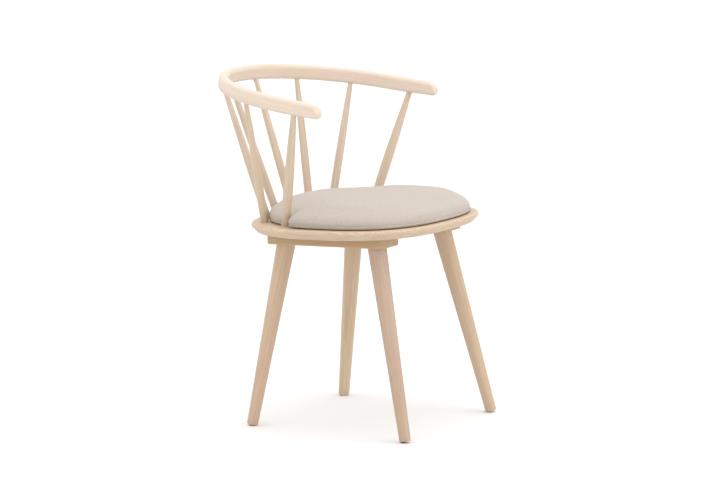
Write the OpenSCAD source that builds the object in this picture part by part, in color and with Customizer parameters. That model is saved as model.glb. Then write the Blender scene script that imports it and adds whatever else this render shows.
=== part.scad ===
// Wooden armchair: a bent bow rail carried on eight turned spindles, a solid seat plate
// on two battens, four splayed legs and an upholstered seat pad.
// Millimetres. Front is -Y, up is +Z. The origin lies on the floor under the middle of the
// outline. "left" is -X and "right" is +X, as seen by someone standing in front of the chair.

/* [Seat plate] */
// Height of the plate's top face above the floor, at the origin
seat_h = 447.5; // [430:0.5:480]
// Fall of the seat towards the back, degrees
seat_tilt = 2.2; // [0:0.1:4]
// Greatest width of the plate
seat_w = 498; // [480:1:520]
// Depth of the plate, front to back
seat_d = 464; // [450:1:480]
// Thickness of the plate
seat_t = 20; // [18:0.5:26]
// Roundness of the front corners: 2 is an ellipse, larger is squarer
seat_front_power = 2.8; // [2.4:0.1:3.4]
// Roundness of the back half
seat_back_power = 2.2; // [2:0.05:2.4]
// Radius of the rounded top edge
seat_edge_r = 5; // [3:0.5:6]
// Height of the upright band at the edge, rounding included
seat_band = 7.5; // [7:0.5:11]
// How far the lower edge is bevelled inwards
seat_bevel = 12; // [8:0.5:14]

/* [Bow rail] */
// Height of the rail's underside above the floor, at the origin
rail_under = 700.7; // [680:0.1:720]
// Rise of the rail towards the back, degrees
rail_tilt = 6.5; // [4:0.1:8]
// Height of the rail's section
rail_h = 33; // [30:0.5:36]
// Thickness of the rail's section
rail_t = 22.6; // [20:0.2:26]
// Corner radius of the section
rail_round = 9; // [5:0.5:10]
// Width of the curved part, between centre lines
bow_w = 496; // [488:1:504]
// Depth of the curved part, on the centre line
bow_d = 267; // [262:1:270]
// Outward flare of the straight arms, degrees
arm_flare = 4.8; // [3:0.1:6]
// How far the arms reach in front of the origin
arm_reach = 91.5; // [80:0.5:100]
// Radius on the upper front corner of each arm
arm_top_r = 20; // [12:1:22]
// Radius on the lower front corner of each arm
arm_low_r = 9; // [3:1:10]
// How far the underside rises towards each arm's end
arm_rise = 2.5; // [0:0.5:4]

/* [Spindles] */
// Front arm spindle on the seat: sideways, back
arm_base = [190, 34]; // [20:1:200]
// Front arm spindle at the rail: sideways, back
arm_top = [251.5, -25]; // [-40:0.5:260]
// Side spindle on the seat
side_base = [144, 115]; // [20:1:200]
// Side spindle at the rail
side_top = [223.5, 112]; // [20:0.5:260]
// Shoulder spindle on the seat
shoulder_base = [91, 140]; // [20:1:200]
// Shoulder spindle at the rail
shoulder_top = [151, 209.5]; // [20:0.5:260]
// Back spindle on the seat
back_base = [33, 149]; // [20:1:200]
// Back spindle at the rail
back_top = [52.5, 257]; // [20:0.5:270]
// Radii of the arm spindles: at the seat, at the swelling, at the rail
arm_radii = [9, 10.8, 6.2]; // [5:0.1:12]
// Radii of the other spindles: at the seat, at the swelling, at the rail
spindle_radii = [8.4, 9.1, 5.3]; // [4.5:0.1:11]
// Height of the swelling, as a share of the spindle's length
swell_at = 0.28; // [0.2:0.01:0.5]
// Length of the round tenons in the seat
seat_tenon = 14; // [12:1:15]
// Length of the round tenons in the rail
rail_tenon = 18; // [12:1:20]

/* [Battens] */
// Distance of each batten's middle from the chair's middle
batten_x = 139.5; // [130:0.5:145]
// Width of a batten
batten_w = 74; // [66:1:80]
// Thickness of a batten
batten_t = 23.5; // [22:0.5:28]
// Front end of the battens, on the seat
batten_front = -200; // [-210:1:-190]
// Back end of the battens, on the seat
batten_back = 93; // [80:1:95]
// Radius of the battens' upright corners
batten_corner_r = 8; // [3:0.5:10]
// Chamfer on the battens' lower edges
batten_chamfer = 2.5; // [1:0.5:3]

/* [Legs] */
// Front leg at the batten: sideways, back
front_leg_top = [144.5, -169]; // [-180:0.5:150]
// Front leg at the floor
front_leg_foot = [195, -268]; // [-280:0.5:205]
// Back leg at the batten
back_leg_top = [147.5, 57.5]; // [40:0.5:150]
// Back leg at the floor
back_leg_foot = [198.5, 115]; // [100:0.5:210]
// Radius of a leg at the batten
leg_top_r = 20.6; // [19:0.2:24]
// Radius of a leg at the foot
leg_foot_r = 12.2; // [11:0.2:15]
// Chamfer round the foot
foot_chamfer = 1.5; // [0.5:0.5:2]

/* [Seat pad] */
// Half width of the pad in front of the arm spindles
pad_front_half = 231; // [225:1:234]
// Half width that the pad's back part tends to
pad_back_half = 208; // [200:1:209]
// Widest line of the pad, measured back from the origin
pad_mid = -71; // [-75:1:-66]
// Reach of the pad in front of its widest line
pad_front = 199; // [192:1:202]
// Reach of the pad behind its widest line
pad_back = 215; // [205:1:216]
// Height of the pad's crown above the plate
pad_h = 54; // [45:0.5:60]
// Height at which the pad bulges furthest
pad_bulge = 16; // [12:1:20]
// Depth of the notches round the arm spindles
notch_depth = 20; // [17:1:24]
// Thickness of the cover
cover_t = 1.5; // [1:0.1:2]
// Thickness of the board in the pad
board_t = 6; // [5:0.5:8]
// Distance of the board's edge inside the pad's edge
board_inset = 18; // [15:1:25]

/* [Fixings] */
// Radius of the hanger bolts in the legs
bolt_r = 4; // [3:0.5:5]
// Length of a bolt inside the leg
bolt_in_leg = 30; // [25:1:35]
// Outer radius of the threaded inserts
insert_r = 6; // [5.5:0.5:7]
// Length of a threaded insert
insert_len = 14; // [10:1:15]
// Shank radius of the batten screws
screw_r = 2.25; // [2:0.25:2.5]
// Length of the batten screws
screw_len = 37; // [34:1:38]
// Shank radius of the pad's screws
pad_screw_r = 2.5; // [2:0.25:3]

/* [Hidden] */
$fn = 64;
slack = 0.05;          // gap left by a glued or screwed fit
far = 600;             // larger than any cut needs
outline_steps = 120;   // round the seat plate's edge
arc_steps = 44;
corner_steps = 5;
rise_len = 90;         // length over which the arms' underside rises
seat_mid = -48;        // middle of the seat plate, front to back
batten_under = seat_t + batten_t;
insert_start = 4;      // depth of an insert's mouth above the leg
head_r = 2 * screw_r;  // countersunk head
head_h = 2.6;
pan_r = 4.8;           // pan head of a pad screw
pan_h = 3;
flange_r = 8.5;        // flange of a pad nut
flange_t = 1.2;
pad_tuck = 26;         // width of the cover turned in under the board
pad_undercut = 0.035;  // share by which the pad's underside is smaller than its bulge
dome_power = 4.4;      // flatness of the pad's crown
dome_edge = 1.8;       // roundness of the pad's shoulder
nut_wall = 1.2;        // wall of a pad nut's barrel
pad_powers = [2.5, 2.4]; // roundness of the pad's front and back halves
screw_spots = [[-22, -127], [22, -127], [-22, 13], [22, 13]];
pad_spots = [[-62, -190], [62, -190], [-62, 50], [62, 50]];

wood = [0.87, 0.78, 0.68];
cloth = [0.84, 0.78, 0.71];
foam = [0.93, 0.9, 0.8];
steel = [0.72, 0.73, 0.75];

// ---- positions ----------------------------------------------------------------------

function seat_z(y) = seat_h - y * tan(seat_tilt);
function rail_z(y) = rail_under + y * tan(rail_tilt);
function on_plate(p, side) = [side * p[0], p[1], seat_z(p[1])];
function on_rail(p, side) = [side * p[0], p[1], rail_z(p[1])];
function under_batten(p, side) = [side * p[0], p[1], seat_z(p[1]) - batten_under / cos(seat_tilt)];

// A leg is cut square at the foot, so it stands on the inner rim of its end face.
function lean(top, foot, side) =
    atan(norm([top[0] - foot[0], top[1] - foot[1]]) / under_batten(top, side)[2]);
function foot_point(top, foot, side) =
    [side * foot[0], foot[1], (leg_foot_r - foot_chamfer) * sin(lean(top, foot, side))];

// Lays children with their +Z along the line from a to b, and their origin at a.
module along(a, b) {
    d = b - a;
    translate(a) rotate([0, acos(d[2] / norm(d)), atan2(d[1], d[0])]) children();
}

// Seat frame: z is 0 on the plate's top face.
module in_seat() {
    translate([0, 0, seat_h]) rotate([-seat_tilt, 0, 0]) children();
}

// Rail frame: z is 0 on the rail's underside.
module in_rail() {
    translate([0, 0, rail_under]) rotate([rail_tilt, 0, 0]) children();
}

// ---- curves ---------------------------------------------------------------------------

function power(v, p) = sign(v) * pow(abs(v), p);

// One point of an oval whose front and back halves have their own depth and roundness.
function oval_point(a, half_w, mid, front, back, front_power, back_power) =
    let (p = sin(a) < 0 ? front_power : back_power, b = sin(a) < 0 ? front : back)
    [half_w * power(cos(a), 2 / p), mid + b * power(sin(a), 2 / p)];

function seat_point(a) =
    oval_point(a, seat_w / 2, seat_mid, seat_d / 2, seat_d / 2, seat_front_power, seat_back_power);

// The point of the seat's outline moved inwards at right angles to the edge.
function seat_inset(a, inset) =
    let (p = seat_point(a), q = seat_point(a + 1) - seat_point(a - 1))
    p + inset * [-q[1], q[0]] / norm(q);

function ease(t) = let (c = max(0, min(1, t))) c * c * (3 - 2 * c);

// The pad is wide in front of the arm spindles and keeps inside the row of spindles behind.
shoulder_y = [-15, 25];
notch_half = 22;                     // half the notch's width along the edge
notch_y = arm_base[1] - 3;           // a little in front of the spindle, which leans forwards
function notch(y) =
    abs(y - notch_y) < notch_half ? notch_depth * (1 + cos(180 * (y - notch_y) / notch_half)) / 2 : 0;
function pad_half(y) =
    pad_back_half + (pad_front_half - pad_back_half)
        * ease((shoulder_y[1] - y) / (shoulder_y[1] - shoulder_y[0]));
function pad_point(a, inset = 0) =
    let (p = oval_point(a, 1, pad_mid, pad_front - inset, pad_back - inset, pad_powers[0], pad_powers[1]))
    [p[0] * (pad_half(p[1]) - inset) - sign(p[0]) * notch(p[1]), p[1]];

function ring_angles() = [for (i = [0 : outline_steps - 1]) 360 * i / outline_steps];

// Finer steps where the pad's edge turns round the arm spindles.
function pad_angles() = concat(
    [for (a = [0 : 3 : 12]) a], [for (a = [14 : 1.5 : 38]) a], [for (a = [41 : 3 : 139]) a],
    [for (a = [142 : 1.5 : 166]) a], [for (a = [168 : 3 : 357]) a]
);

// ---- surfaces through rings -----------------------------------------------------------

function reversed(list) = [for (k = [len(list) - 1 : -1 : 0]) list[k]];

// Closed skin through rings of equal count, each ring counter-clockwise seen from its far side.
module skin(rings) {
    n = len(rings[0]);
    last = len(rings) - 1;
    polyhedron(
        points = [for (ring = rings) each ring],
        faces = concat(
            [[for (i = [0 : n - 1]) i]],
            [for (k = [0 : last - 1], i = [0 : n - 1])
                let (j = (i + 1) % n) each [
                    [k * n + i, (k + 1) * n + i, (k + 1) * n + j],
                    [k * n + i, (k + 1) * n + j, k * n + j]
                ]],
            [[for (i = [n - 1 : -1 : 0]) last * n + i]]
        )
    );
}

// ---- bow rail ---------------------------------------------------------------------------

bow_mid = 4.3;                       // middle of the curved part in the rail frame
bow_a = bow_w / 2;
join_angle = atan2(bow_a, bow_d * tan(arm_flare));
join = [bow_a * sin(join_angle), bow_mid + bow_d * cos(join_angle)];
arm_dir = [sin(arm_flare), -cos(arm_flare)];
arm_len = (join[1] + arm_reach) / cos(arm_flare);

// What a quarter-round of radius r takes off at distance e from the end.
function round_off(e, r) = e >= r ? 0 : r - sqrt(r * r - (r - e) * (r - e));

// Section of the rail: a rounded rectangle, half thickness a, from height low to high.
function section(a, low, high, r) = [
    for (q = [0 : 3], i = [0 : corner_steps])
        let (t = 90 * q + 90 * i / corner_steps,
             u = (q == 0 || q == 3) ? a - r : r - a,
             z = q < 2 ? high - r : low + r)
        [u + r * cos(t), z + r * sin(t)]
];

// The section set across the rail at point p, with outward direction n, on one side.
function station(side, p, n, e) =
    let (a = rail_t / 2 - round_off(e, 3),
         high = rail_h - round_off(e, arm_top_r),
         low = min(high - 1.5, round_off(e, arm_low_r) + arm_rise * ease(1 - e / rise_len)),
         r = min(rail_round, a - 0.5, (high - low) / 2 - 0.3))
    [for (s = section(a, low, high, r)) [side * (p[0] + s[0] * n[0]), p[1] + s[0] * n[1], s[1]]];

function curve_station(side, t) =
    let (n = [bow_d * sin(t), bow_a * cos(t)])
    station(side, [bow_a * sin(t), bow_mid + bow_d * cos(t)], n / norm(n), far);

end_steps = [for (k = [0 : 10]) arm_top_r * (1 - cos(9 * k))];
function arm_station(side, e) =
    station(side, join + (arm_len - e) * arm_dir, [cos(arm_flare), sin(arm_flare)], e);

function half_rail(side) = concat(
    [for (e = end_steps) arm_station(side, e)],
    [for (k = [1 : 3]) arm_station(side, arm_top_r + (arm_len - arm_top_r) * k / 4)],
    [for (k = [0 : arc_steps - 1]) curve_station(side, join_angle * (1 - k / arc_steps))]
);

module bow_rail() {
    color(wood) difference() {
        in_rail() skin(concat(half_rail(-1), [curve_station(1, 0)], reversed(half_rail(1))));
        each_spindle() rail_socket($base, $top, $radii);
    }
}

// ---- spindles -----------------------------------------------------------------------------

// Radius at share t of the length: it swells above the seat and tapers to the rail.
function spindle_r(t, radii) =
    t < swell_at
        ? radii[0] + (radii[1] - radii[0]) * sin(90 * t / swell_at)
        : radii[2] + (radii[1] - radii[2]) * cos(90 * (t - swell_at) / (1 - swell_at));

module spindle(base, top, radii) {
    len = norm(top - base);
    straight = 5;
    steps = 16;
    color(wood) along(base, top) rotate_extrude() polygon(concat(
        [[0, -seat_tenon], [radii[0], -seat_tenon]],
        [for (k = [0 : steps]) [spindle_r(k / steps, radii), straight + (len - 2 * straight) * k / steps]],
        [[radii[2], len + rail_tenon], [0, len + rail_tenon]]
    ));
}

module arm_spindle(side) { spindle(on_plate(arm_base, side), on_rail(arm_top, side), arm_radii); }
module side_spindle(side) { spindle(on_plate(side_base, side), on_rail(side_top, side), spindle_radii); }
module shoulder_spindle(side) {
    spindle(on_plate(shoulder_base, side), on_rail(shoulder_top, side), spindle_radii);
}
module back_spindle(side) { spindle(on_plate(back_base, side), on_rail(back_top, side), spindle_radii); }

// Runs children once for each spindle, with its ends and radii in $base, $top and $radii.
module each_spindle() {
    for (side = [-1, 1],
         s = [[arm_base, arm_top, arm_radii], [side_base, side_top, spindle_radii],
              [shoulder_base, shoulder_top, spindle_radii], [back_base, back_top, spindle_radii]]) {
        $base = on_plate(s[0], side);
        $top = on_rail(s[1], side);
        $radii = s[2];
        children();
    }
}

module seat_socket(base, top, radii) {
    along(base, top) translate([0, 0, -seat_tenon]) cylinder(r = radii[0] + slack, h = 2 * seat_tenon);
}

module rail_socket(base, top, radii) {
    along(base, top) translate([0, 0, norm(top - base) - rail_tenon])
        cylinder(r = radii[2] + slack, h = 2 * rail_tenon);
}

// ---- seat plate and battens ---------------------------------------------------------------

// Edge of the plate, from the underside up: inset and height.
seat_edge = concat(
    [[seat_bevel, -seat_t], [0.5, -seat_band - 0.5], [0, -seat_band + 0.5]],
    [for (t = [0 : 18 : 90]) seat_edge_r * [1 - cos(t), sin(t) - 1]]
);

module seat_plate() {
    color(wood) difference() {
        in_seat() skin([
            for (e = seat_edge) [for (a = ring_angles()) [each seat_inset(a, e[0]), e[1]]]
        ]);
        each_spindle() seat_socket($base, $top, $radii);
        each_batten_screw() cylinder(r = screw_r + slack, h = screw_len);
        in_seat() for (p = pad_spots)
            translate([p[0], p[1], -seat_t - 1]) cylinder(r = pad_screw_r + 0.5, h = seat_t + 2);
    }
}

// A prism along Z with rounded corners.
module rounded_bar(x, y, z, r) {
    linear_extrude(z) union() {
        translate([0, r]) square([x, y - 2 * r]);
        translate([r, 0]) square([x - 2 * r, y]);
        for (cx = [r, x - r], cy = [r, y - r]) translate([cx, cy]) circle(r);
    }
}

// A rectangle with its two lower corners cut off.
module cut_rectangle(x, y, c) {
    polygon([[c, 0], [x - c, 0], [x, c], [x, y], [0, y], [0, c]]);
}

module batten(side) {
    length = batten_back - batten_front;
    color(wood) difference() {
        in_seat() translate([side * batten_x - batten_w / 2, batten_front, -batten_under])
            intersection() {
                rounded_bar(batten_w, length, batten_t, batten_corner_r);
                translate([0, length, 0]) rotate([90, 0, 0])
                    linear_extrude(length) cut_rectangle(batten_w, batten_t, batten_chamfer);
                rotate([90, 0, 90])
                    linear_extrude(batten_w) cut_rectangle(length, batten_t, batten_chamfer);
            }
        each_leg() translate([0, 0, $leg_len - insert_len])
            cylinder(r = insert_r + slack, h = 2 * insert_len + insert_start);
        each_batten_screw() {
            cylinder(r = screw_r + 0.25, h = batten_t + 1);
            screw_head(slack);
        }
    }
}

// ---- legs -----------------------------------------------------------------------------------

module leg(top, foot, side) {
    a = foot_point(top, foot, side);
    b = under_batten(top, side);
    len = norm(b - a);
    taper = (leg_top_r - leg_foot_r) / len;
    over = 12;
    color(wood) difference() {
        along(a, b) rotate_extrude() polygon([
            [0, 0],
            [leg_foot_r - foot_chamfer, 0],
            [leg_foot_r, foot_chamfer],
            [leg_top_r + taper * over, len + over],
            [0, len + over]
        ]);
        in_seat() translate([-far, -far, -batten_under]) cube([2 * far, 2 * far, far]);
        along(a, b) translate([0, 0, len - bolt_in_leg]) cylinder(r = bolt_r + slack, h = far);
    }
}

// Runs children along each leg's line from the foot, with the leg's length in $leg_len.
module each_leg() {
    for (side = [-1, 1], p = [[front_leg_top, front_leg_foot], [back_leg_top, back_leg_foot]]) {
        a = foot_point(p[0], p[1], side);
        b = under_batten(p[0], side);
        $leg_len = norm(b - a);
        along(a, b) children();
    }
}

// ---- fixings ----------------------------------------------------------------------------------

module leg_bolts() {
    tip = 3;
    color(steel) each_leg() translate([0, 0, $leg_len - bolt_in_leg]) {
        cylinder(r1 = bolt_r / 2, r2 = bolt_r, h = tip);
        translate([0, 0, tip])
            cylinder(r = bolt_r, h = bolt_in_leg - tip + insert_start + insert_len);
    }
}

module leg_inserts() {
    color(steel) each_leg() translate([0, 0, $leg_len + insert_start]) difference() {
        cylinder(r = insert_r, h = insert_len);
        translate([0, 0, -1]) cylinder(r = bolt_r + slack, h = insert_len + 2);
    }
}

// Runs children upwards from the underside of the battens, at each screw.
module each_batten_screw() {
    in_seat() for (side = [-1, 1], p = screw_spots)
        translate([side * batten_x + p[0], p[1], -batten_under]) children();
}

module screw_head(gap) {
    cylinder(r1 = head_r + gap, r2 = screw_r + gap, h = head_h);
}

module batten_screws() {
    color(steel) each_batten_screw() difference() {
        union() {
            screw_head(0);
            cylinder(r = screw_r, h = screw_len);
        }
        translate([0, 0, -1]) cylinder(r = 1.6, h = 2.8, $fn = 6);
    }
}

module pad_screws() {
    reach = seat_t + cover_t + board_t;
    color(steel) in_seat() for (p = pad_spots) translate([p[0], p[1], -seat_t]) difference() {
        union() {
            translate([0, 0, -pan_h]) cylinder(r1 = pan_r - 1, r2 = pan_r, h = pan_h);
            cylinder(r = pad_screw_r, h = reach);
        }
        translate([0, 0, -pan_h - 1]) cylinder(r = 1.8, h = 2.8, $fn = 6);
    }
}

module pad_nuts() {
    color(steel) in_seat() for (p = pad_spots) translate([p[0], p[1], cover_t]) difference() {
        union() {
            cylinder(r = pad_screw_r + nut_wall, h = board_t);
            translate([0, 0, board_t - flange_t]) cylinder(r = flange_r, h = flange_t);
        }
        translate([0, 0, -1]) cylinder(r = pad_screw_r + slack, h = board_t + 2);
    }
}

// ---- seat pad -----------------------------------------------------------------------------------

// One ring of the pad's skin: the outline inset, scaled about its middle, at a height.
function pad_ring(inset, size, z) =
    [for (a = pad_angles()) let (p = pad_point(a, inset))
        [p[0] * size, pad_mid + (p[1] - pad_mid) * size, z]];

// The pad's skin from its underside to its crown, inset all round.
function pad_rings(inset) = concat(
    [for (t = [0 : 22.5 : 90])
        pad_ring(inset, 1 - pad_undercut * (1 - sin(t)), inset + (pad_bulge - inset) * (1 - cos(t)))],
    [for (t = [78 : -13 : 13])
        pad_ring(inset, sin(t), pad_bulge
            + (pad_h - inset - pad_bulge) * pow(1 - pow(sin(t), dome_power), 1 / dome_edge))]
);

module pad_board() {
    color(wood) in_seat() difference() {
        translate([0, 0, cover_t]) linear_extrude(board_t)
            polygon([for (a = pad_angles()) pad_point(a, board_inset)]);
        for (p = pad_spots) translate([p[0], p[1], cover_t]) {
            translate([0, 0, -1]) cylinder(r = pad_screw_r + nut_wall + slack, h = board_t + 2);
            translate([0, 0, board_t - flange_t]) cylinder(r = flange_r + slack, h = board_t);
        }
    }
}

// The foam fits round the board and rests on it.
module pad_foam() {
    color(foam) in_seat() skin(concat(
        [for (z = [cover_t + board_t, cover_t]) pad_ring(board_inset - slack, 1, z)],
        pad_rings(cover_t)
    ));
}

// The cover follows the foam, turns in under the board and comes back round the outside.
module pad_cover() {
    color(cloth) in_seat() skin(concat(
        reversed(pad_rings(cover_t)),
        [for (z = [cover_t, 0]) pad_ring(board_inset + pad_tuck, 1, z)],
        pad_rings(0)
    ));
}

// ---- the chair ----------------------------------------------------------------------------------

module spindle_arm_left() { arm_spindle(-1); }
module spindle_arm_right() { arm_spindle(1); }
module spindle_side_left() { side_spindle(-1); }
module spindle_side_right() { side_spindle(1); }
module spindle_shoulder_left() { shoulder_spindle(-1); }
module spindle_shoulder_right() { shoulder_spindle(1); }
module spindle_back_left() { back_spindle(-1); }
module spindle_back_right() { back_spindle(1); }
module batten_left() { batten(-1); }
module batten_right() { batten(1); }
module leg_front_left() { leg(front_leg_top, front_leg_foot, -1); }
module leg_front_right() { leg(front_leg_top, front_leg_foot, 1); }
module leg_back_left() { leg(back_leg_top, back_leg_foot, -1); }
module leg_back_right() { leg(back_leg_top, back_leg_foot, 1); }

bow_rail();
spindle_arm_left();
spindle_arm_right();
spindle_side_left();
spindle_side_right();
spindle_shoulder_left();
spindle_shoulder_right();
spindle_back_left();
spindle_back_right();
seat_plate();
batten_left();
batten_right();
leg_front_left();
leg_front_right();
leg_back_left();
leg_back_right();
leg_bolts();
leg_inserts();
batten_screws();
pad_board();
pad_foam();
pad_cover();
pad_screws();
pad_nuts();
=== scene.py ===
"""Wooden spindle-back armchair: the visual model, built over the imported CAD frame.

Lengths in the shape functions are in millimetres, in the CAD's own frame (front -Y, up +Z,
origin on the floor); mesh_object() turns them into metres.
"""
import math

import bpy
import numpy as np
from mathutils import Matrix, Vector


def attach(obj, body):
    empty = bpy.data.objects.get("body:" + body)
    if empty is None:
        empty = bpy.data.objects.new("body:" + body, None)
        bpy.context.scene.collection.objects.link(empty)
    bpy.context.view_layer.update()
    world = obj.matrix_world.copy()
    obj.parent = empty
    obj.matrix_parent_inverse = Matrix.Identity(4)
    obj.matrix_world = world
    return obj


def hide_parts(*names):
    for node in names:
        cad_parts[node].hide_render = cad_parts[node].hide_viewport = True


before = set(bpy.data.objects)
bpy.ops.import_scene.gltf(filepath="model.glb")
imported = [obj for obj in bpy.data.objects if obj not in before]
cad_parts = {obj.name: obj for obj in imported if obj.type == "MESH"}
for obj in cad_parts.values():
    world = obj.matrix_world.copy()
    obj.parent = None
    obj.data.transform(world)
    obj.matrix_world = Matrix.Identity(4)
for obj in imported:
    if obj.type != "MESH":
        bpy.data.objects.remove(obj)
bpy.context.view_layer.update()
MM = 0.001

# ---- the chair's dimensions, as in the CAD -----------------------------------------------

SEAT_H, SEAT_TILT = 447.5, math.radians(2.2)
SEAT_HALF, SEAT_MID, SEAT_REACH, SEAT_T = 249.0, -48.0, 232.0, 20.0
SEAT_POWERS = (2.8, 2.2)
SEAT_EDGE_R, SEAT_BAND, SEAT_BEVEL = 5.0, 7.5, 12.0
BATTEN_T = 23.5
RAIL_Z, RAIL_TILT, RAIL_H, RAIL_T = 700.7, math.radians(6.5), 33.0, 22.6
BOW_A, BOW_D, BOW_MID, FLARE, REACH = 248.0, 267.0, 4.3, math.radians(4.8), 91.5
ARM_TOP_R, ARM_LOW_R, ARM_SIDE_R, RAIL_ROUND, ARM_RISE, RISE_LEN = 20.0, 9.0, 3.0, 9.0, 2.5, 90.0
ARM_RADII = (9.0, 10.8, 6.2)
SPINDLE_RADII = (8.4, 9.1, 5.3)
SWELL_AT = 0.28
SPINDLES = {
    "arm": ((190, 34), (251.5, -25), ARM_RADII),
    "side": ((144, 115), (223.5, 112), SPINDLE_RADII),
    "shoulder": ((91, 140), (151, 209.5), SPINDLE_RADII),
    "back": ((33, 149), (52.5, 257), SPINDLE_RADII),
}
LEGS = {"front": ((144.5, -169), (195, -268)), "back": ((147.5, 57.5), (198.5, 115))}
LEG_TOP_R, LEG_FOOT_R, FOOT_CHAMFER = 20.6, 12.2, 1.5
SEAT_TENON, RAIL_TENON = 14.0, 18.0
BATTEN_X, BATTEN_W, BATTEN_FRONT, BATTEN_BACK = 139.5, 74.0, -200.0, 93.0
BATTEN_CORNER_R, BATTEN_ROUND = 8.0, 3.5
SCREW_R, SCREW_SPOTS = 2.25, ((-22, -127), (22, -127), (-22, 13), (22, 13))
PAD_SPOTS = ((-62, -190), (62, -190), (-62, 50), (62, 50))
PAD_HOLE_R = 3.0
# A threaded insert's mouth lies INSERT_START above the leg's top.
INSERT_LEN, INSERT_START, INSERT_HOLE_R = 14.0, 4.0, 6.05
# Gaps round the spindles: in the plate, in the rail, and between them and the pad.
FIT, SOCKET_FIT, PAD_FIT = 0.12, 0.3, 1.4

# The pad before its cover swells. Its front and back halves have their own reach, half width and
# roundness, and the width changes over a short stretch in front of PAD_NECK.
PAD_MID, PAD_FRONT, PAD_BACK = -71.0, 200.0, 216.0
PAD_HALF_FRONT, PAD_HALF_BACK, PAD_POWERS = 232.0, 213.0, (2.7, 2.4)
PAD_NECK, PAD_NECK_LEN = 38.0, 30.0
PAD_H, PAD_BULGE, PAD_SHRINK = 51.5, 16.0, 0.992
# Slots for the arm spindles, a little in front of their axes. Above LIP the edge rolls over.
SLOT_R, SLOT_AHEAD, LIP = 15.0, 4.0, 24.0
CREASE_DEPTH, CREASE_WIDTH, CREASE_START, CREASE_LEN = 13.0, 11.0, 16.0, 28.0
# The remesh's grid, and the furthest that a point may swell.
VOXEL, SWELL_CAP = 4.5, 7.0
# The hem's welt and groove, as (height, width), and their relief.
WELT, GROOVE, HEM_RELIEF = (4.5, 1.8), (8.5, 1.6), 0.9
PLATE_GAP = 0.25


def seat_frame():
    return Matrix.Translation((0, 0, SEAT_H)) @ Matrix.Rotation(-SEAT_TILT, 4, "X")


def rail_frame():
    return Matrix.Translation((0, 0, RAIL_Z)) @ Matrix.Rotation(RAIL_TILT, 4, "X")


def seat_z(y):
    return SEAT_H - y * math.tan(SEAT_TILT)


def rail_z(y):
    return RAIL_Z + y * math.tan(RAIL_TILT)


def on_plate(p, side):
    return Vector((side * p[0], p[1], seat_z(p[1])))


def on_rail(p, side):
    return Vector((side * p[0], p[1], rail_z(p[1])))


def along(a, b):
    """Matrix whose +Z runs from a towards b, with its origin at a."""
    d = b - a
    tip = math.acos(d.z / d.length)
    turn = math.atan2(d.y, d.x)
    return Matrix.Translation(a) @ Matrix.Rotation(turn, 4, "Z") @ Matrix.Rotation(tip, 4, "Y")


def leg_ends(name, side):
    top, foot = LEGS[name]
    under = seat_z(top[1]) - (SEAT_T + BATTEN_T) / math.cos(SEAT_TILT)
    high = Vector((side * top[0], top[1], under))
    lean = math.atan(math.dist(top, foot) / high.z)
    low = Vector((side * foot[0], foot[1], (LEG_FOOT_R - FOOT_CHAMFER) * math.sin(lean)))
    return low, high


def word(side):
    return "left" if side < 0 else "right"


def ease(t):
    t = np.clip(t, 0, 1)
    return t * t * (3 - 2 * t)


def power(v, p):
    return math.copysign(abs(v) ** p, v)


# ---- mesh helpers ------------------------------------------------------------------------


def moved(points, matrix):
    p = np.asarray(points, float)
    m = np.array(matrix)
    return p @ m[:3, :3].T + m[:3, 3]


def mesh_object(name, points, faces, scale=MM):
    mesh = bpy.data.meshes.new(name)
    mesh.from_pydata((np.asarray(points, float) * scale).tolist(), [], faces)
    mesh.validate()
    mesh.update()
    o = bpy.data.objects.new(name, mesh)
    bpy.context.scene.collection.objects.link(o)
    return o


def loft(rings):
    """Closed surface through rings of equal count: points and faces."""
    n, m = len(rings[0]), len(rings)
    points = [p for ring in rings for p in ring]
    faces = [tuple(reversed(range(n)))]
    for k in range(m - 1):
        for i in range(n):
            j = (i + 1) % n
            faces.append((k * n + i, k * n + j, (k + 1) * n + j, (k + 1) * n + i))
    faces.append(tuple((m - 1) * n + i for i in range(n)))
    return points, faces


def lathe(profile, segments=48):
    """A turned solid from (radius, height) pairs."""
    turns = [2 * math.pi * i / segments for i in range(segments)]
    return loft([[(r * math.cos(t), r * math.sin(t), z) for t in turns] for r, z in profile])


def coordinates(o):
    co = np.empty(len(o.data.vertices) * 3)
    o.data.vertices.foreach_get("co", co)
    return co.reshape(-1, 3)


def set_coordinates(o, co):
    o.data.vertices.foreach_set("co", np.asarray(co, float).ravel())
    o.data.update()


def apply_modifiers(o):
    bpy.context.view_layer.update()
    deps = bpy.context.evaluated_depsgraph_get()
    mesh = bpy.data.meshes.new_from_object(o.evaluated_get(deps), depsgraph=deps)
    old = o.data
    o.modifiers.clear()
    o.data = mesh
    bpy.data.meshes.remove(old)


def cut(o, solids, scale=MM):
    """Takes the solids, given as (points, faces), out of o."""
    points, faces = [], []
    for p, f in solids:
        base = len(points)
        points += [tuple(v) for v in p]
        faces += [tuple(base + i for i in face) for face in f]
    tool = mesh_object("cutter", points, faces, scale)
    m = o.modifiers.new("cut", "BOOLEAN")
    m.operation, m.solver, m.object = "DIFFERENCE", "EXACT", tool
    apply_modifiers(o)
    bpy.data.objects.remove(tool)


def cylinder(r, z0, z1, matrix, segments=48):
    p, f = lathe([(r, z0), (r, z1)], segments)
    return moved(p, matrix), f


def smooth(o, angle=40):
    o.data.polygons.foreach_set("use_smooth", [True] * len(o.data.polygons))
    o.data.set_sharp_from_angle(angle=math.radians(angle))


def vector_attribute(o, name, values):
    a = o.data.attributes.new(name, "FLOAT_VECTOR", "POINT")
    a.data.foreach_set("vector", np.asarray(values, float).ravel())


def dress(o, material):
    o.data.materials.clear()
    o.data.materials.append(material)


def finish_wood(o, grain, material, *nodes):
    """Smooth shading, grain coordinates in metres (x along the grain), material, frame links."""
    smooth(o)
    vector_attribute(o, "grain", grain)
    dress(o, material)
    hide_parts(*nodes)
    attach(o, "root")


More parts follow.
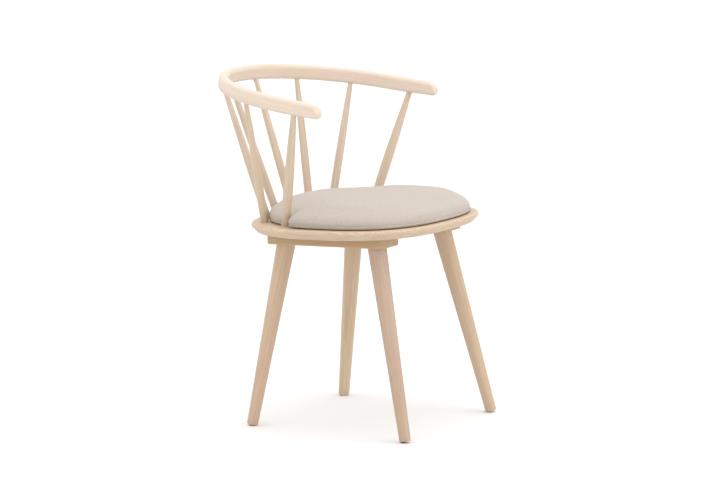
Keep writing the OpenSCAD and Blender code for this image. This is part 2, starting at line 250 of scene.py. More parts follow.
# ---- material helpers --------------------------------------------------------------------


class Graph:
    """A small helper for node materials."""

    def __init__(self, name):
        self.material = bpy.data.materials.new(name)
        self.material.use_nodes = True
        self.tree = self.material.node_tree
        self.tree.nodes.clear()
        self.out = self.node("ShaderNodeOutputMaterial")

    def node(self, kind, inputs=None, **settings):
        n = self.tree.nodes.new(kind)
        for key, value in settings.items():
            setattr(n, key, value)
        for key, value in (inputs or {}).items():
            self.put(n.inputs[key], value)
        return n

    def put(self, socket, value):
        if isinstance(value, bpy.types.NodeSocket):
            self.tree.links.new(value, socket)
        else:
            socket.default_value = value

    def math(self, operation, *values):
        return self.node("ShaderNodeMath", dict(enumerate(values)), operation=operation).outputs[0]

    def scaled(self, vector, factors, offset=(0, 0, 0)):
        inputs = {0: vector, 1: factors, 2: offset}
        return self.node("ShaderNodeVectorMath", inputs, operation="MULTIPLY_ADD").outputs["Vector"]

    def noise(self, vector, detail=3.0, roughness=0.5, distortion=0.0):
        return self.node(
            "ShaderNodeTexNoise",
            {"Vector": vector, "Scale": 1.0, "Detail": detail, "Roughness": roughness,
             "Distortion": distortion},
        ).outputs["Fac"]

    def level(self, value, low, high, to_low=0.0, to_high=1.0):
        return self.node(
            "ShaderNodeMapRange",
            {"Value": value, "From Min": low, "From Max": high, "To Min": to_low,
             "To Max": to_high},
            interpolation_type="SMOOTHSTEP",
        ).outputs["Result"]

    def mix(self, factor, a, b, blend="MIX"):
        n = self.node("ShaderNodeMix", data_type="RGBA", blend_type=blend)
        for socket, value in ((n.inputs[0], factor), (n.inputs[6], a), (n.inputs[7], b)):
            self.put(socket, value)
        return n.outputs[2]


def wood_material(name, light, dark, blush, straw, seed, ring_centre, mottle=0.6, figure=1.0):
    """Pale bleached hardwood in solid grain coordinates, x along the fibres.

    mottle is the strength of the straw-coloured patches, figure that of the streaks and rings.
    """
    g = Graph(name)
    grain = g.node("ShaderNodeAttribute", attribute_name="grain").outputs["Vector"]
    s = (seed * 3.17 % 9, seed * 1.73 % 5, seed * 2.39 % 7)
    broad = g.noise(g.scaled(grain, (2.2, 26, 26), s), detail=2.0)
    streak = g.noise(g.scaled(grain, (4, 190, 190), s), detail=4.0, roughness=0.6, distortion=0.25)
    fibre = g.noise(g.scaled(grain, (14, 900, 900), s), detail=3.0, roughness=0.6)
    pore = g.noise(g.scaled(grain, (190, 3600, 3600), s), detail=1.0)
    warp = g.noise(g.scaled(grain, (1.6, 9, 9), s), detail=2.0)
    # Growth rings: bands round a pith that lies outside the piece, wavering along its length.
    centre = g.node(
        "ShaderNodeCombineXYZ",
        {0: 0.0, 1: g.math("MULTIPLY_ADD", warp, 0.022, ring_centre[0]), 2: ring_centre[1]},
    )
    shifted = g.node("ShaderNodeVectorMath", {0: grain, 1: centre.outputs[0]}, operation="ADD")
    rings = g.node(
        "ShaderNodeTexWave",
        {"Vector": shifted.outputs[0], "Scale": 64.0, "Distortion": 1.6, "Detail": 2.0,
         "Detail Scale": 0.6},
        wave_type="RINGS", rings_direction="X",
    ).outputs["Fac"]
    late = g.level(rings, 0.55, 0.98)
    streaks = g.level(streak, 0.3, 0.72, 0.2 - 0.2 * figure, 0.2 + 0.6 * figure)
    colour = g.mix(streaks, light, dark)
    patch = g.noise(g.scaled(grain, (7, 34, 34), (s[1], s[2], s[0])), detail=3.0, roughness=0.55)
    colour = g.mix(g.level(broad, 0.44, 0.7, 0.0, 0.65), colour, blush)
    colour = g.mix(g.level(patch, 0.48, 0.72, 0.0, mottle), colour, straw)
    colour = g.mix(g.math("MULTIPLY", late, 0.26 * figure), colour, (0.38, 0.275, 0.185, 1))
    colour = g.mix(g.level(fibre, 0.35, 0.75, 0.0, 0.16), colour, (0.36, 0.26, 0.175, 1))
    fleck = g.level(pore, 0.66, 0.75)
    colour = g.mix(g.math("MULTIPLY", fleck, 0.35), colour, (0.27, 0.185, 0.12, 1))
    # Edges: slightly paler where handling has polished them.
    edge = g.level(g.node("ShaderNodeNewGeometry").outputs["Pointiness"], 0.52, 0.6, 0.0, 0.35)
    colour = g.mix(edge, colour, (0.62, 0.52, 0.42, 1))
    height = g.math("MULTIPLY_ADD", fibre, 0.6, g.math("MULTIPLY", streak, 0.5))
    height = g.math("SUBTRACT", height, g.math("MULTIPLY", fleck, 0.8))
    bump = g.node("ShaderNodeBump", {"Strength": 0.35, "Distance": 0.0003, "Height": height})
    rough = g.level(streak, 0.2, 0.8, 0.42, 0.58)
    shader = g.node(
        "ShaderNodeBsdfPrincipled",
        {"Base Color": colour, "Roughness": rough, "Normal": bump.outputs[0],
         "Specular IOR Level": 0.4, "Coat Weight": 0.06, "Coat Roughness": 0.3},
    )
    g.put(g.out.inputs["Surface"], shader.outputs[0])
    return g.material


def weave_group():
    """Height of a plain weave from two surface coordinates in thread widths."""
    t = bpy.data.node_groups.new("plain_weave", "ShaderNodeTree")
    for name in ("a", "b"):
        t.interface.new_socket(name, in_out="INPUT", socket_type="NodeSocketFloat")
    t.interface.new_socket("height", in_out="OUTPUT", socket_type="NodeSocketFloat")
    entry, leave = t.nodes.new("NodeGroupInput"), t.nodes.new("NodeGroupOutput")

    def op(operation, a, b=None):
        n = t.nodes.new("ShaderNodeMath")
        n.operation = operation
        for socket, v in zip(n.inputs, (a, b)):
            if isinstance(v, bpy.types.NodeSocket):
                t.links.new(v, socket)
            elif v is not None:
                socket.default_value = v
        return n.outputs[0]

    sa = op("SINE", op("MULTIPLY", entry.outputs["a"], math.pi))
    sb = op("SINE", op("MULTIPLY", entry.outputs["b"], math.pi))
    over = op("ADD", op("MULTIPLY", op("MULTIPLY", sa, sb), 0.5), 0.5)
    warp = op("MULTIPLY", op("ABSOLUTE", sa), over)
    weft = op("MULTIPLY", op("ABSOLUTE", sb), op("SUBTRACT", 1.0, over))
    t.links.new(op("MAXIMUM", warp, weft), leave.inputs["height"])
    return t


def linen_material(name, pale, deep):
    """Plain-woven linen-look cloth, woven in the seat's own directions on every side of the pad."""
    g = Graph(name)
    weave = weave_group()
    place = g.node("ShaderNodeAttribute", attribute_name="cloth").outputs["Vector"]
    parts = g.node("ShaderNodeSeparateXYZ", {0: g.scaled(place, (1000 / 1.1,) * 3)}).outputs
    wobble = g.noise(g.scaled(place, (90, 90, 90)), detail=1.0)
    shift = g.math("MULTIPLY", wobble, 1.2)
    normal = g.node("ShaderNodeNewGeometry").outputs["Normal"]
    n = g.node("ShaderNodeSeparateXYZ", {0: normal}).outputs
    weights = [g.math("POWER", g.math("ABSOLUTE", v), 4.0) for v in n]
    total = g.math("ADD", g.math("ADD", weights[0], weights[1]), weights[2])
    height = None
    for w, (i, j) in zip(weights, ((1, 2), (0, 2), (0, 1))):
        one = g.node("ShaderNodeGroup", node_tree=weave)
        g.put(one.inputs["a"], g.math("ADD", parts[i], shift))
        g.put(one.inputs["b"], g.math("ADD", parts[j], shift))
        part = g.math("MULTIPLY", one.outputs[0], g.math("DIVIDE", w, total))
        height = part if height is None else g.math("ADD", height, part)
    slub_x = g.noise(g.scaled(place, (60, 850, 850)), detail=3.0, roughness=0.65)
    slub_y = g.noise(g.scaled(place, (850, 60, 850)), detail=3.0, roughness=0.65)
    slub = g.math("MULTIPLY", g.math("ADD", slub_x, slub_y), 0.5)
    speckle = g.noise(g.scaled(place, (340, 340, 340)), detail=2.0, roughness=0.6)
    cloud = g.noise(g.scaled(place, (14, 14, 14)), detail=3.0)
    colour = g.mix(g.level(slub, 0.36, 0.66), deep, pale)
    colour = g.mix(g.level(speckle, 0.38, 0.62, 0.3, 0.0), colour, (0.36, 0.305, 0.255, 1))
    colour = g.mix(g.level(cloud, 0.3, 0.7, 0.0, 0.22), colour, (0.46, 0.4, 0.345, 1))
    # Painted shade: the weave's low places, between the threads, are darkened.
    colour = g.mix(g.level(height, 0.1, 0.6, 0.34, 0.0), colour, (0.33, 0.275, 0.225, 1))
    bumps = g.math("ADD", height, g.math("MULTIPLY", slub, 0.8))
    bump = g.node("ShaderNodeBump", {"Strength": 0.55, "Distance": 0.0006, "Height": bumps})
    shader = g.node(
        "ShaderNodeBsdfPrincipled",
        {"Base Color": colour, "Roughness": g.level(slub, 0.3, 0.7, 0.82, 0.95),
         "Normal": bump.outputs[0], "Specular IOR Level": 0.25, "Sheen Weight": 0.25,
         "Sheen Roughness": 0.5},
    )
    g.put(g.out.inputs["Surface"], shader.outputs[0])
    return g.material


def steel_material(name):
    g = Graph(name)
    place = g.node("ShaderNodeTexCoord").outputs["Object"]
    scratch = g.noise(g.scaled(place, (2500, 300, 2500)), detail=3.0)
    stain = g.noise(g.scaled(place, (160, 160, 160)), detail=3.0)
    colour = g.mix(g.level(stain, 0.35, 0.7), (0.62, 0.64, 0.66, 1), (0.48, 0.49, 0.5, 1))
    bump = g.node("ShaderNodeBump", {"Strength": 0.2, "Distance": 0.0001, "Height": scratch})
    shader = g.node(
        "ShaderNodeBsdfPrincipled",
        {"Base Color": colour, "Metallic": 1.0, "Roughness": g.level(scratch, 0.2, 0.8, 0.28, 0.5),
         "Normal": bump.outputs[0]},
    )
    g.put(g.out.inputs["Surface"], shader.outputs[0])
    return g.material


def plywood_material(name):
    """For the pad's hidden board: two tones drawn out along the fibres and a fine bump."""
    g = Graph(name)
    place = g.node("ShaderNodeTexCoord").outputs["Object"]
    fibre = g.noise(g.scaled(place, (400, 30, 400)), detail=4.0, roughness=0.6)
    bump = g.node("ShaderNodeBump", {"Strength": 0.4, "Distance": 0.0003, "Height": fibre})
    colour = g.mix(g.level(fibre, 0.3, 0.7), (0.6, 0.46, 0.3, 1), (0.7, 0.56, 0.39, 1))
    shader = g.node(
        "ShaderNodeBsdfPrincipled",
        {"Base Color": colour, "Roughness": 0.7, "Normal": bump.outputs[0]},
    )
    g.put(g.out.inputs["Surface"], shader.outputs[0])
    return g.material


TONES = ((0.56, 0.455, 0.35), (0.44, 0.33, 0.235), (0.51, 0.375, 0.295), (0.5, 0.4, 0.265))


def bleached(name, seed, tint, **more):
    """A billet of the same timber, with its own seed and tint (painted light in the rail's, painted
    shade in the battens').
    """
    tones = [tuple(a * b for a, b in zip(tone, tint)) + (1,) for tone in TONES]
    return wood_material(name, *tones, seed, **more)


# ---- bow rail ----------------------------------------------------------------------------

JOIN = math.atan2(BOW_A, BOW_D * math.tan(FLARE))
JOIN_XY = np.array([BOW_A * math.sin(JOIN), BOW_MID + BOW_D * math.cos(JOIN)])
ARM_DIR = np.array([math.sin(FLARE), -math.cos(FLARE)])
ARM_LEN = (JOIN_XY[1] + REACH) / math.cos(FLARE)


def round_off(e, r):
    return 0.0 if e >= r else r - math.sqrt(r * r - (r - e) ** 2)


def section(a, low, high, r, steps=8):
    out = []
    for q in range(4):
        u = a - r if q in (0, 3) else r - a
        z = high - r if q < 2 else low + r
        for i in range(steps + 1):
            t = math.radians(90 * q + 90 * i / steps)
            out.append((u + r * math.cos(t), z + r * math.sin(t)))
    return out


def station(side, p, n, e):
    a = RAIL_T / 2 - round_off(e, ARM_SIDE_R)
    low = round_off(e, ARM_LOW_R) + ARM_RISE * float(ease(1 - e / RISE_LEN))
    high = RAIL_H - round_off(e, ARM_TOP_R)
    r = min(RAIL_ROUND, a - 0.5, (high - low) / 2 - 0.3)
    return [(side * (p[0] + u * n[0]), p[1] + u * n[1], z) for u, z in section(a, low, high, r)]


def curve_station(side, t):
    n = np.array([BOW_D * math.sin(t), BOW_A * math.cos(t)])
    p = (BOW_A * math.sin(t), BOW_MID + BOW_D * math.cos(t))
    return station(side, p, n / np.linalg.norm(n), 1e3)


def arm_station(side, e):
    n = (math.cos(FLARE), math.sin(FLARE))
    return station(side, JOIN_XY + (ARM_LEN - e) * ARM_DIR, n, e)


def half_rail(side, arcs=96):
    ends = [ARM_TOP_R * (1 - math.cos(math.radians(90 * k / 18))) for k in range(19)]
    rest = [ARM_TOP_R + (ARM_LEN - ARM_TOP_R) * k / 12 for k in range(1, 12)]
    return ([arm_station(side, e) for e in ends + rest]
            + [curve_station(side, JOIN * (1 - k / arcs)) for k in range(arcs)])


def rail_grain(co):
    """Coordinates along the bent rail, across it and up it, for points in metres."""
    local = moved(co / MM, rail_frame().inverted())
    t = np.linspace(-JOIN, JOIN, 1201)
    path = np.stack([BOW_A * np.sin(t), BOW_MID + BOW_D * np.cos(t)], 1)
    reach = np.linspace(1, 160, 160)[:, None]
    right = JOIN_XY + reach * ARM_DIR
    left = right * (-1, 1)
    path = np.concatenate([left[::-1], path, right])
    length = np.concatenate([[0], np.cumsum(np.linalg.norm(np.diff(path, axis=0), axis=1))])
    step = np.gradient(path, axis=0)
    step /= np.linalg.norm(step, axis=1)[:, None]
    out = np.empty_like(local)
    for k in range(0, len(local), 2000):
        p = local[k:k + 2000, None, :2] - path[None]
        i = np.argmin((p ** 2).sum(2), axis=1)
        d = p[np.arange(len(i)), i]
        tangent = step[i]
        out[k:k + 2000, 0] = length[i] + (d * tangent).sum(1)
        out[k:k + 2000, 1] = d[:, 0] * tangent[:, 1] - d[:, 1] * tangent[:, 0]
    out[:, 2] = local[:, 2]
    return out * MM


def build_rail():
    left, right = half_rail(-1), half_rail(1)
    points, faces = loft(left + [curve_station(1, 0)] + right[::-1])
    o = mesh_object("rail_bow", moved(points, rail_frame()), faces)
    sockets = []
    for base, top, radii in SPINDLES.values():
        for side in (-1, 1):
            a, b = on_plate(base, side), on_rail(top, side)
            size = (b - a).length
            r = radii[2] + SOCKET_FIT
            sockets.append(cylinder(r, size - RAIL_TENON, size + RAIL_TENON, along(a, b)))
    cut(o, sockets)
    # The rail's much paler tint is painted light: the stronger overhead light on the rail, put into
    # its colour.
    wood = bleached("wood_rail", 3, (1.37, 1.45, 1.58), ring_centre=(0.03, 0.05), figure=0.45)
    finish_wood(o, rail_grain(coordinates(o)), wood, "bow_rail")


# ---- spindles and legs -------------------------------------------------------------------


def spindle_r(t, radii):
    """Radius at share t of the length, from the seat to the rail."""
    foot, swell, tip = radii
    if t < SWELL_AT:
        return foot + (swell - foot) * math.sin(math.pi / 2 * t / SWELL_AT)
    return tip + (swell - tip) * math.cos(math.pi / 2 * (t - SWELL_AT) / (1 - SWELL_AT))


def turned_grain(points, start, turn):
    """Grain coordinates of a turned piece: along its axis from start, and turned about it."""
    p = np.asarray(points)
    return np.stack([p[:, 2] + start,
                     p[:, 0] * math.cos(turn) - p[:, 1] * math.sin(turn),
                     p[:, 0] * math.sin(turn) + p[:, 1] * math.cos(turn)], 1) * MM


def build_spindles():
    tints = ((1.17, 1.2, 1.22), (1.21, 1.24, 1.25), (1.2, 1.21, 1.27))
    woods = [bleached("wood_spindle_%d" % k, 11 + 5 * k, tint, figure=0.7,
                      ring_centre=(0.02, 0.012 + 0.01 * k)) for k, tint in enumerate(tints)]
    end, bevel = 5, 0.6
    for k, (name, (base, top, radii)) in enumerate(SPINDLES.items()):
        for side in (-1, 1):
            a, b = on_plate(base, side), on_rail(top, side)
            size = (b - a).length
            foot, _, tip = radii
            profile = [(foot - bevel, -SEAT_TENON), (foot, -SEAT_TENON + bevel), (foot, 0)]
            profile += [(spindle_r(i / 40, radii), end + (size - 2 * end) * i / 40)
                        for i in range(41)]
            profile += [(tip, size + RAIL_TENON - bevel), (tip - bevel, size + RAIL_TENON)]
            points, faces = lathe(profile, 40)
            label = "%s_%s" % (name, word(side))
            o = mesh_object("turned_spindle_" + label, moved(points, along(a, b)), faces)
            grain = turned_grain(points, 400 * k + 900 * side, 0.7 * k + 1.9 * side)
            finish_wood(o, grain, woods[(k + (side > 0)) % 3], "spindle_" + label)


def build_legs():
    tints = {("front", -1): (0.93, 0.85, 0.86), ("front", 1): (1.04, 0.99, 0.9),
             ("back", -1): (1.04, 0.95, 0.88), ("back", 1): (1.17, 1.12, 1.04)}
    for k, ((name, side), tint) in enumerate(tints.items()):
        a, b = leg_ends(name, side)
        size = (b - a).length
        place = along(a, b)
        taper = (LEG_TOP_R - LEG_FOOT_R) / size
        c = FOOT_CHAMFER
        profile = [(LEG_FOOT_R - c, 0), (LEG_FOOT_R - 0.45 * c, 0.3 * c), (LEG_FOOT_R, c)]
        profile += [(LEG_FOOT_R + taper * (size * i / 24), size * i / 24) for i in range(1, 23)]
        points = lathe(profile, 64)[0]
        # The top ring runs up to the batten's sloping underside.
        seat = seat_frame().inverted() @ place
        under = -(SEAT_T + BATTEN_T)
        ring = []
        for i in range(64):
            t = 2 * math.pi * i / 64
            low, high = [
                Vector((r * math.cos(t), r * math.sin(t), z))
                for r, z in ((LEG_FOOT_R, 0), (LEG_FOOT_R + taper * (size + 30), size + 30))
            ]
            z0, z1 = (seat @ low).z, (seat @ high).z
            ring.append(tuple(low.lerp(high, (under - z0) / (z1 - z0))))
        points, faces = loft([points[n * 64:(n + 1) * 64] for n in range(len(profile))] + [ring])
        label = "%s_%s" % (name, word(side))
        o = mesh_object("turned_leg_" + label, moved(points, place), faces)
        wood = bleached("wood_leg_" + label, 31 + 7 * k, tint, ring_centre=(0.03, 0.024),
                        mottle=0.85, figure=0.7)
        finish_wood(o, turned_grain(points, 700 * k, 1.3 * k + 0.4), wood, "leg_" + label)


# ---- seat plate and battens --------------------------------------------------------------


def seat_point(a):
    s, c = math.sin(a), math.cos(a)
    n = SEAT_POWERS[0] if s < 0 else SEAT_POWERS[1]
    return np.array([SEAT_HALF * power(c, 2 / n), SEAT_MID + SEAT_REACH * power(s, 2 / n)])


def seat_ring(inset, z, steps=288):
    out = []
    for i in range(steps):
        a = 2 * math.pi * i / steps
        q = seat_point(a + 0.01) - seat_point(a - 0.01)
        p = seat_point(a) + inset * np.array([-q[1], q[0]]) / np.linalg.norm(q)
        out.append((p[0], p[1], z))
    return out


def build_seat():
    # The edge from the underside up, as (inset, height): bevel, upright band, rounded top.
    start, stop = (SEAT_BEVEL - 0.8, 0.8 - SEAT_T), (0.7, -SEAT_BAND - 0.9)
    edge = [(SEAT_BEVEL + 0.6, -SEAT_T), (SEAT_BEVEL - 0.3, 0.25 - SEAT_T), start]
    edge += [tuple(a + (b - a) * k / 5 for a, b in zip(start, stop)) for k in range(1, 6)]
    edge += [(0.3, -SEAT_BAND - 0.3), (0.05, -SEAT_BAND + 0.4), (0, -SEAT_BAND + 1.1)]
    edge += [(SEAT_EDGE_R * (1 - math.cos(t)), SEAT_EDGE_R * (math.sin(t) - 1))
             for t in np.radians(np.arange(0, 91, 10))]
    points, faces = loft([seat_ring(*e) for e in edge])
    o = mesh_object("seat_board", moved(points, seat_frame()), faces)
    holes = []
    for base, top, radii in SPINDLES.values():
        for side in (-1, 1):
            a, b = on_plate(base, side), on_rail(top, side)
            holes.append(cylinder(radii[0] + FIT, -SEAT_TENON, SEAT_TENON, along(a, b)))
    for x, y in PAD_SPOTS:
        spot = seat_frame() @ Matrix.Translation((x, y, 0))
        holes.append(cylinder(PAD_HOLE_R, -SEAT_T - 1, 1, spot, 24))
    cut(o, holes)
    local = moved(coordinates(o) / MM, seat_frame().inverted())
    # Edge-glued staves run front to back, each with its own figure.
    width = 62.0
    stave = np.floor(local[:, 0] / width + 0.5)
    grain = np.stack([local[:, 1] + 1500 + 310 * (stave % 3), local[:, 0], local[:, 2] + 40], 1)
    wood = bleached("wood_seat", 71, (1.12, 1.1, 1.04), ring_centre=(0.01, 0.11))
    finish_wood(o, grain * MM, wood, "seat_plate")


def rounded_ring(x, y, r, inset, z, steps=10):
    """A rectangle with corners of radius r, moved inwards, at height z."""
    out = []
    for q, (sx, sy) in enumerate(((1, 1), (-1, 1), (-1, -1), (1, -1))):
        for i in range(steps + 1):
            t = math.radians(90 * q + 90 * i / steps)
            rr = max(r - inset, 0.4)
            out.append((sx * (x / 2 - inset - rr) + rr * math.cos(t),
                        sy * (y / 2 - inset - rr) + rr * math.sin(t), z))
    return out


def build_battens():
    length = BATTEN_BACK - BATTEN_FRONT
    edge = [(BATTEN_ROUND * (1 - math.sin(t)), BATTEN_ROUND * (1 - math.cos(t)))
            for t in np.radians(np.arange(0, 91, 15))]
    edge += [(0, 12), (0, BATTEN_T - 0.4), (0.4, BATTEN_T)]
    # A screw's hole: a countersink, then the shank.
    hole = [(2 * SCREW_R + 1.0, -1.0), (SCREW_R + 0.25, 2.5), (SCREW_R + 0.25, BATTEN_T + 1)]
    for side, seed in ((-1, 91), (1, 97)):
        points, faces = loft([rounded_ring(BATTEN_W, length, BATTEN_CORNER_R, i, z)
                              for i, z in edge])
        middle = seat_frame() @ Matrix.Translation(
            (side * BATTEN_X, (BATTEN_FRONT + BATTEN_BACK) / 2, -SEAT_T - BATTEN_T))
        o = mesh_object("batten_bar_" + word(side), moved(points, middle), faces)
        holes = []
        for x, y in SCREW_SPOTS:
            at = Matrix.Translation((side * BATTEN_X + x, y, -SEAT_T - BATTEN_T))
            p, f = lathe(hole, 32)
            holes.append((moved(p, seat_frame() @ at), f))
        for leg in LEGS:
            a, b = leg_ends(leg, side)
            size = (b - a).length
            holes.append(cylinder(INSERT_HOLE_R, size - INSERT_LEN,
                                  size + INSERT_LEN + INSERT_START, along(a, b), 32))
        cut(o, holes)
        local = moved(coordinates(o) / MM, middle.inverted())
        grain = np.stack([local[:, 1] + 500 * side, local[:, 2] + 12, local[:, 0] + 25], 1) * MM
        # The battens' darker, yellower tint is painted shade: the shade under the seat plate, put
        # into their colour.
        wood = bleached("wood_batten_%d" % seed, seed, (0.94, 0.8, 0.59), ring_centre=(0.035, 0))
        finish_wood(o, grain, wood, "batten_" + word(side))


# ---- seat pad ----------------------------------------------------------------------------


def pad_half(y):
    return PAD_HALF_BACK + (PAD_HALF_FRONT - PAD_HALF_BACK) * ease((PAD_NECK - y) / PAD_NECK_LEN)


def pad_point(a):
    s, c = math.sin(a), math.cos(a)
    n, b = (PAD_POWERS[0], PAD_FRONT) if s < 0 else (PAD_POWERS[1], PAD_BACK)
    y = PAD_MID + b * power(s, 2 / n)
    return power(c, 2 / n) * pad_half(y), y


def spindle_line(name, side):
    """A spindle's axis in the seat frame: a point on the plate and a direction with unit rise."""
    base, top, _ = SPINDLES[name]
    inverse = seat_frame().inverted()
    a, b = inverse @ on_plate(base, side), inverse @ on_rail(top, side)
    d = b - a
    return np.array(a), np.array(d / d.z)


def pad_start():
    """The pad before it swells, in the seat frame: a domed body on an undercut base."""
    steps = 240
    outline = [pad_point(2 * math.pi * i / steps) for i in range(steps)]
    # The dome starts a little low, to leave room for the swelling.
    rise = PAD_H - 4 - PAD_BULGE
    under = [(1 - 0.04 * (1 - math.sin(t)), PAD_BULGE * (1 - math.cos(t)))
             for t in np.radians(np.arange(0, 91, 15))]
    dome = [(math.sin(t), PAD_BULGE + rise * (1 - math.sin(t) ** 5) ** (1 / 2.2))
            for t in np.radians(np.arange(84, 5, -6))]
    return loft([[(x * s * PAD_SHRINK, PAD_MID + (y - PAD_MID) * s * PAD_SHRINK, z)
                  for x, y in outline] for s, z in under + dome])


def slot_line(side):
    a, d = spindle_line("arm", side)
    return a - (0, SLOT_AHEAD, 0), d


def notch_distance(p):
    """How far a point is outside the slots that the arm spindles stand in."""
    best = np.full(len(p), 1e9)
    for side in (-1, 1):
        a, d = slot_line(side)
        axis = a[:2] + p[:, 2:3] * d[:2]
        q = p[:, :2] - axis
        q[:, 0] = np.where(q[:, 0] * side > 0, 0, q[:, 0])
        best = np.minimum(best, np.linalg.norm(q, axis=1))
    return best - SLOT_R


def slot_solids():
    """What is cut out of the pad for each arm spindle: a round-ended bar that leans with it."""
    out = []
    far = 70  # past the pad's edge
    for side in (-1, 1):
        a, d = slot_line(side)
        lean = Matrix(((1, 0, d[0], a[0]), (0, 1, d[1], a[1]), (0, 0, 1, 0), (0, 0, 0, 1)))
        shape = [(side * SLOT_R * math.cos(t), SLOT_R * math.sin(t))
                 for t in np.linspace(math.pi / 2, 1.5 * math.pi, 17)]
        shape += [(side * far, -SLOT_R), (side * far, SLOT_R)]
        if side < 0:
            shape.reverse()
        points, faces = loft([[(x, y, z) for x, y in shape] for z in (-20, 90)])
        out.append((moved(points, lean), faces))
    return out


def creased(p):
    """Rolls the edge over into each slot, with a short crease running inwards from it."""
    near = np.clip(notch_distance(p) / SLOT_R, 0, 1)
    roll = np.sqrt(1 - (1 - near) ** 2)
    p[:, 2] = np.where(p[:, 2] > LIP, LIP + (p[:, 2] - LIP) * (0.42 + 0.58 * roll), p[:, 2])
    for side in (-1, 1):
        a, _ = spindle_line("arm", side)
        inwards = np.array([-side * 0.8, -0.6])
        q = p[:, :2] - a[:2]
        run = q @ inwards
        off = q @ np.array([inwards[1], -inwards[0]])
        across, start = np.exp(-(off / CREASE_WIDTH) ** 2), ease(run / CREASE_START)
        fade = across * start * np.exp(-(run / CREASE_LEN) ** 2)
        p[:, 2] -= np.where(p[:, 2] > LIP, CREASE_DEPTH * fade, 0)
    return p


def build_pad(material):
    points, faces = pad_start()
    # The remesh and the creases work in millimetres.
    o = mesh_object("pad_cushion", points, faces, 1.0)
    cut(o, slot_solids(), 1.0)
    m = o.modifiers.new("even", "REMESH")
    m.mode, m.voxel_size = "VOXEL", VOXEL
    apply_modifiers(o)
    rest = creased(coordinates(o))
    set_coordinates(o, rest * MM)

    puff(o, rest)
    p = coordinates(o) / MM
    # The swelling is evened out, except beside the slots and along the base.
    share = np.clip((notch_distance(rest) - 6) / 20, 0, 1) * (rest[:, 2] > 6)
    move = evened(o, p - rest, share)
    # No point moves further than the foam lets it, and none goes below the plate.
    size = np.linalg.norm(move, axis=1)
    p = rest + move * np.minimum(1, SWELL_CAP / np.maximum(size, 1e-6))[:, None]
    p[:, 2] = np.clip(p[:, 2], PLATE_GAP, PAD_H + 3)
    set_coordinates(o, p * MM)
    m = o.modifiers.new("ease", "SMOOTH")
    m.factor, m.iterations = 0.5, 6
    m = o.modifiers.new("fine", "SUBSURF")
    m.levels = 1
    apply_modifiers(o)
    p = hem(o, clear_of_spindles(coordinates(o) / MM))
    p[:, 2] = np.maximum(p[:, 2], PLATE_GAP)
    set_coordinates(o, moved(p, seat_frame()) * MM)
    smooth(o, 180)
    vector_attribute(o, "cloth", p * MM)
    dress(o, material)
    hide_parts("pad_cover", "pad_foam")
    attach(o, "root")


def evened(o, move, share, rounds=60):
    """Spreads the swelling over neighbouring points, so that the padding has no buckles."""
    edges = np.empty(len(o.data.edges) * 2, dtype=int)
    o.data.edges.foreach_get("vertices", edges)
    a, b = edges.reshape(-1, 2).T
    count = np.bincount(np.concatenate([a, b]), minlength=len(move))[:, None]
    for _ in range(rounds):
        total = np.stack([np.bincount(a, move[b, k], len(move))
                          + np.bincount(b, move[a, k], len(move)) for k in range(3)], 1)
        move = move + share[:, None] * (total / count - move)
    return move


def puff(o, rest):
    """Cloth simulation: the cover swells against its seam round the base and the slots."""
    frames = 20
    seam = o.vertex_groups.new(name="seam")
    held = np.clip(1 - (rest[:, 2] - 2.0) / 3.0, 0, 1)
    held = np.maximum(held, np.clip(1 - notch_distance(rest) / 4.0, 0, 1) * (rest[:, 2] < 26))
    for i in np.nonzero(held > 0.02)[0]:
        seam.add([int(i)], float(held[i]), "REPLACE")
    m = o.modifiers.new("puff", "CLOTH")
    s = m.settings
    s.quality = 6
    s.mass = 0.25
    s.tension_stiffness = s.compression_stiffness = 12
    s.shear_stiffness = 4
    s.bending_stiffness = 0.4
    s.use_pressure = True
    s.uniform_pressure_force = 4.0
    s.shrink_min = 0.0
    s.effector_weights.gravity = 0.0
    s.vertex_group_mass = "seam"
    m.collision_settings.use_collision = False
    m.point_cache.frame_start, m.point_cache.frame_end = 1, frames
    scene = bpy.context.scene
    for f in range(1, frames + 1):
        scene.frame_set(f)
    apply_modifiers(o)
    scene.frame_set(1)


def clear_of_spindles(p):
    """Moves the points that come too near a spindle away from it."""
    for name, (_, _, radii) in SPINDLES.items():
        for side in (-1, 1):
            a, d = spindle_line(name, side)
            q = p[:, :2] - (a[:2] + p[:, 2:3] * d[:2])
            far = np.linalg.norm(q, axis=1)
            gap = radii[1] + PAD_FIT
            push = np.where(far < gap, gap / np.maximum(far, 1e-6), 1)[:, None]
            p[:, :2] += q * (push - 1)
    return p


def hem(o, p):
    """A stitched seam round the lower edge: a low welt with a groove above it."""
    n = np.empty(len(p) * 3)
    o.data.vertices.foreach_get("normal", n)
    n = n.reshape(-1, 3)
    side = np.clip(1.4 - 1.6 * np.abs(n[:, 2]), 0, 1)
    welt, groove = [np.exp(-((p[:, 2] - z) / width) ** 2) for z, width in (WELT, GROOVE)]
    lift = HEM_RELIEF * welt - HEM_RELIEF * groove
    return p + n * (lift * side)[:, None]


# ---- stage -------------------------------------------------------------------------------


def build_stage():
    corners = [(40.0 * x, 40.0 * y, 0) for x, y in ((-1, -1), (1, -1), (1, 1), (-1, 1))]
    floor = mesh_object("floor", corners, [(0, 1, 2, 3)], 1.0)
    g = Graph("floor_white")
    place = g.node("ShaderNodeTexCoord").outputs["Object"]
    tone = g.level(g.noise(g.scaled(place, (0.6, 0.6, 0.6))), 0.2, 0.8)
    colour = g.mix(tone, (0.76, 0.76, 0.76, 1), (0.78, 0.78, 0.78, 1))
    shader = g.node("ShaderNodeBsdfPrincipled", {"Base Color": colour, "Roughness": 0.9,
                                                 "Specular IOR Level": 0.1})
    g.put(g.out.inputs["Surface"], shader.outputs[0])
    floor.data.materials.append(g.material)


def point_at(o, aim):
    o.rotation_mode = "QUATERNION"
    o.rotation_quaternion = (Vector(aim) - o.location).to_track_quat("-Z", "Y")


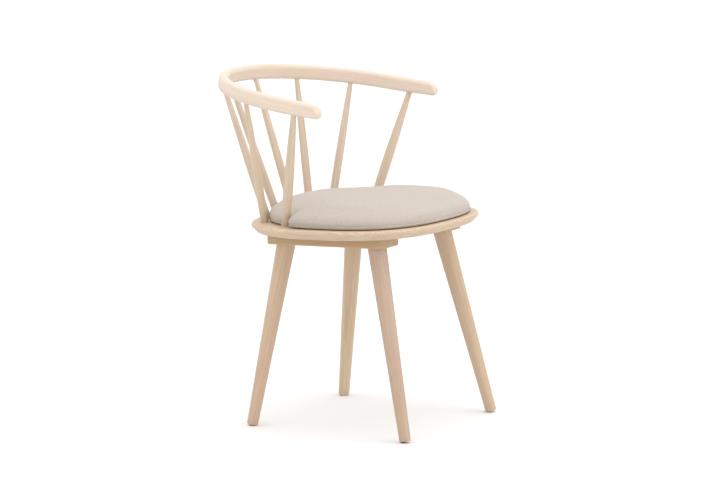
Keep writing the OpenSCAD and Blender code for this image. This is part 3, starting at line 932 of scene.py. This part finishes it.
def softbox(name, location, watts, tint):
    light = bpy.data.lights.new(name, "AREA")
    light.shape, light.size, light.energy, light.color = "SQUARE", 1.6, watts, tint
    o = bpy.data.objects.new(name, light)
    bpy.context.scene.collection.objects.link(o)
    o.location = location
    point_at(o, (0, 0, 0.45))


def build_light():
    world = bpy.data.worlds.new("studio")
    bpy.context.scene.world = world
    world.use_nodes = True
    tree = world.node_tree
    up = tree.nodes.new("ShaderNodeSeparateXYZ")
    tree.links.new(tree.nodes.new("ShaderNodeTexCoord").outputs["Generated"], up.inputs[0])
    # Brighter overhead than at the horizon.
    ramp = tree.nodes.new("ShaderNodeMapRange")
    for key, value in (("From Min", 0.0), ("From Max", 1.0), ("To Min", 0.62), ("To Max", 1.96)):
        ramp.inputs[key].default_value = value
    tree.links.new(up.outputs["Z"], ramp.inputs["Value"])
    tree.links.new(ramp.outputs[0], tree.nodes["Background"].inputs["Strength"])
    tree.nodes["Background"].inputs["Color"].default_value = (1, 1, 1, 1)
    softbox("key", (0.6, -3.2, 1.9), 18, (1, 0.965, 0.935))
    softbox("fill", (-3.2, -0.4, 1.8), 5, (1, 0.985, 0.96))


def build_camera():
    data = bpy.data.cameras.new("camera")
    data.lens, data.sensor_width = 185.4, 36.0
    data.clip_start, data.clip_end = 0.1, 200
    o = bpy.data.objects.new("camera", data)
    bpy.context.scene.collection.objects.link(o)
    o.location = (-6.982, -4.094, 1.644)
    point_at(o, (0, -0.0428, 0.3969))
    bpy.context.scene.camera = o
    bpy.context.scene.view_settings.view_transform = "Standard"


# ---- build -------------------------------------------------------------------------------

build_camera()
build_rail()
build_spindles()
build_legs()
build_seat()
build_battens()
build_pad(linen_material("linen", (0.565, 0.505, 0.455, 1), (0.47, 0.407, 0.355, 1)))

steel = steel_material("zinc_steel")
for node in ("leg_bolts", "leg_inserts", "batten_screws", "pad_screws", "pad_nuts"):
    dress(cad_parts[node], steel)
dress(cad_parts["pad_board"], plywood_material("plywood"))

build_stage()
build_light()
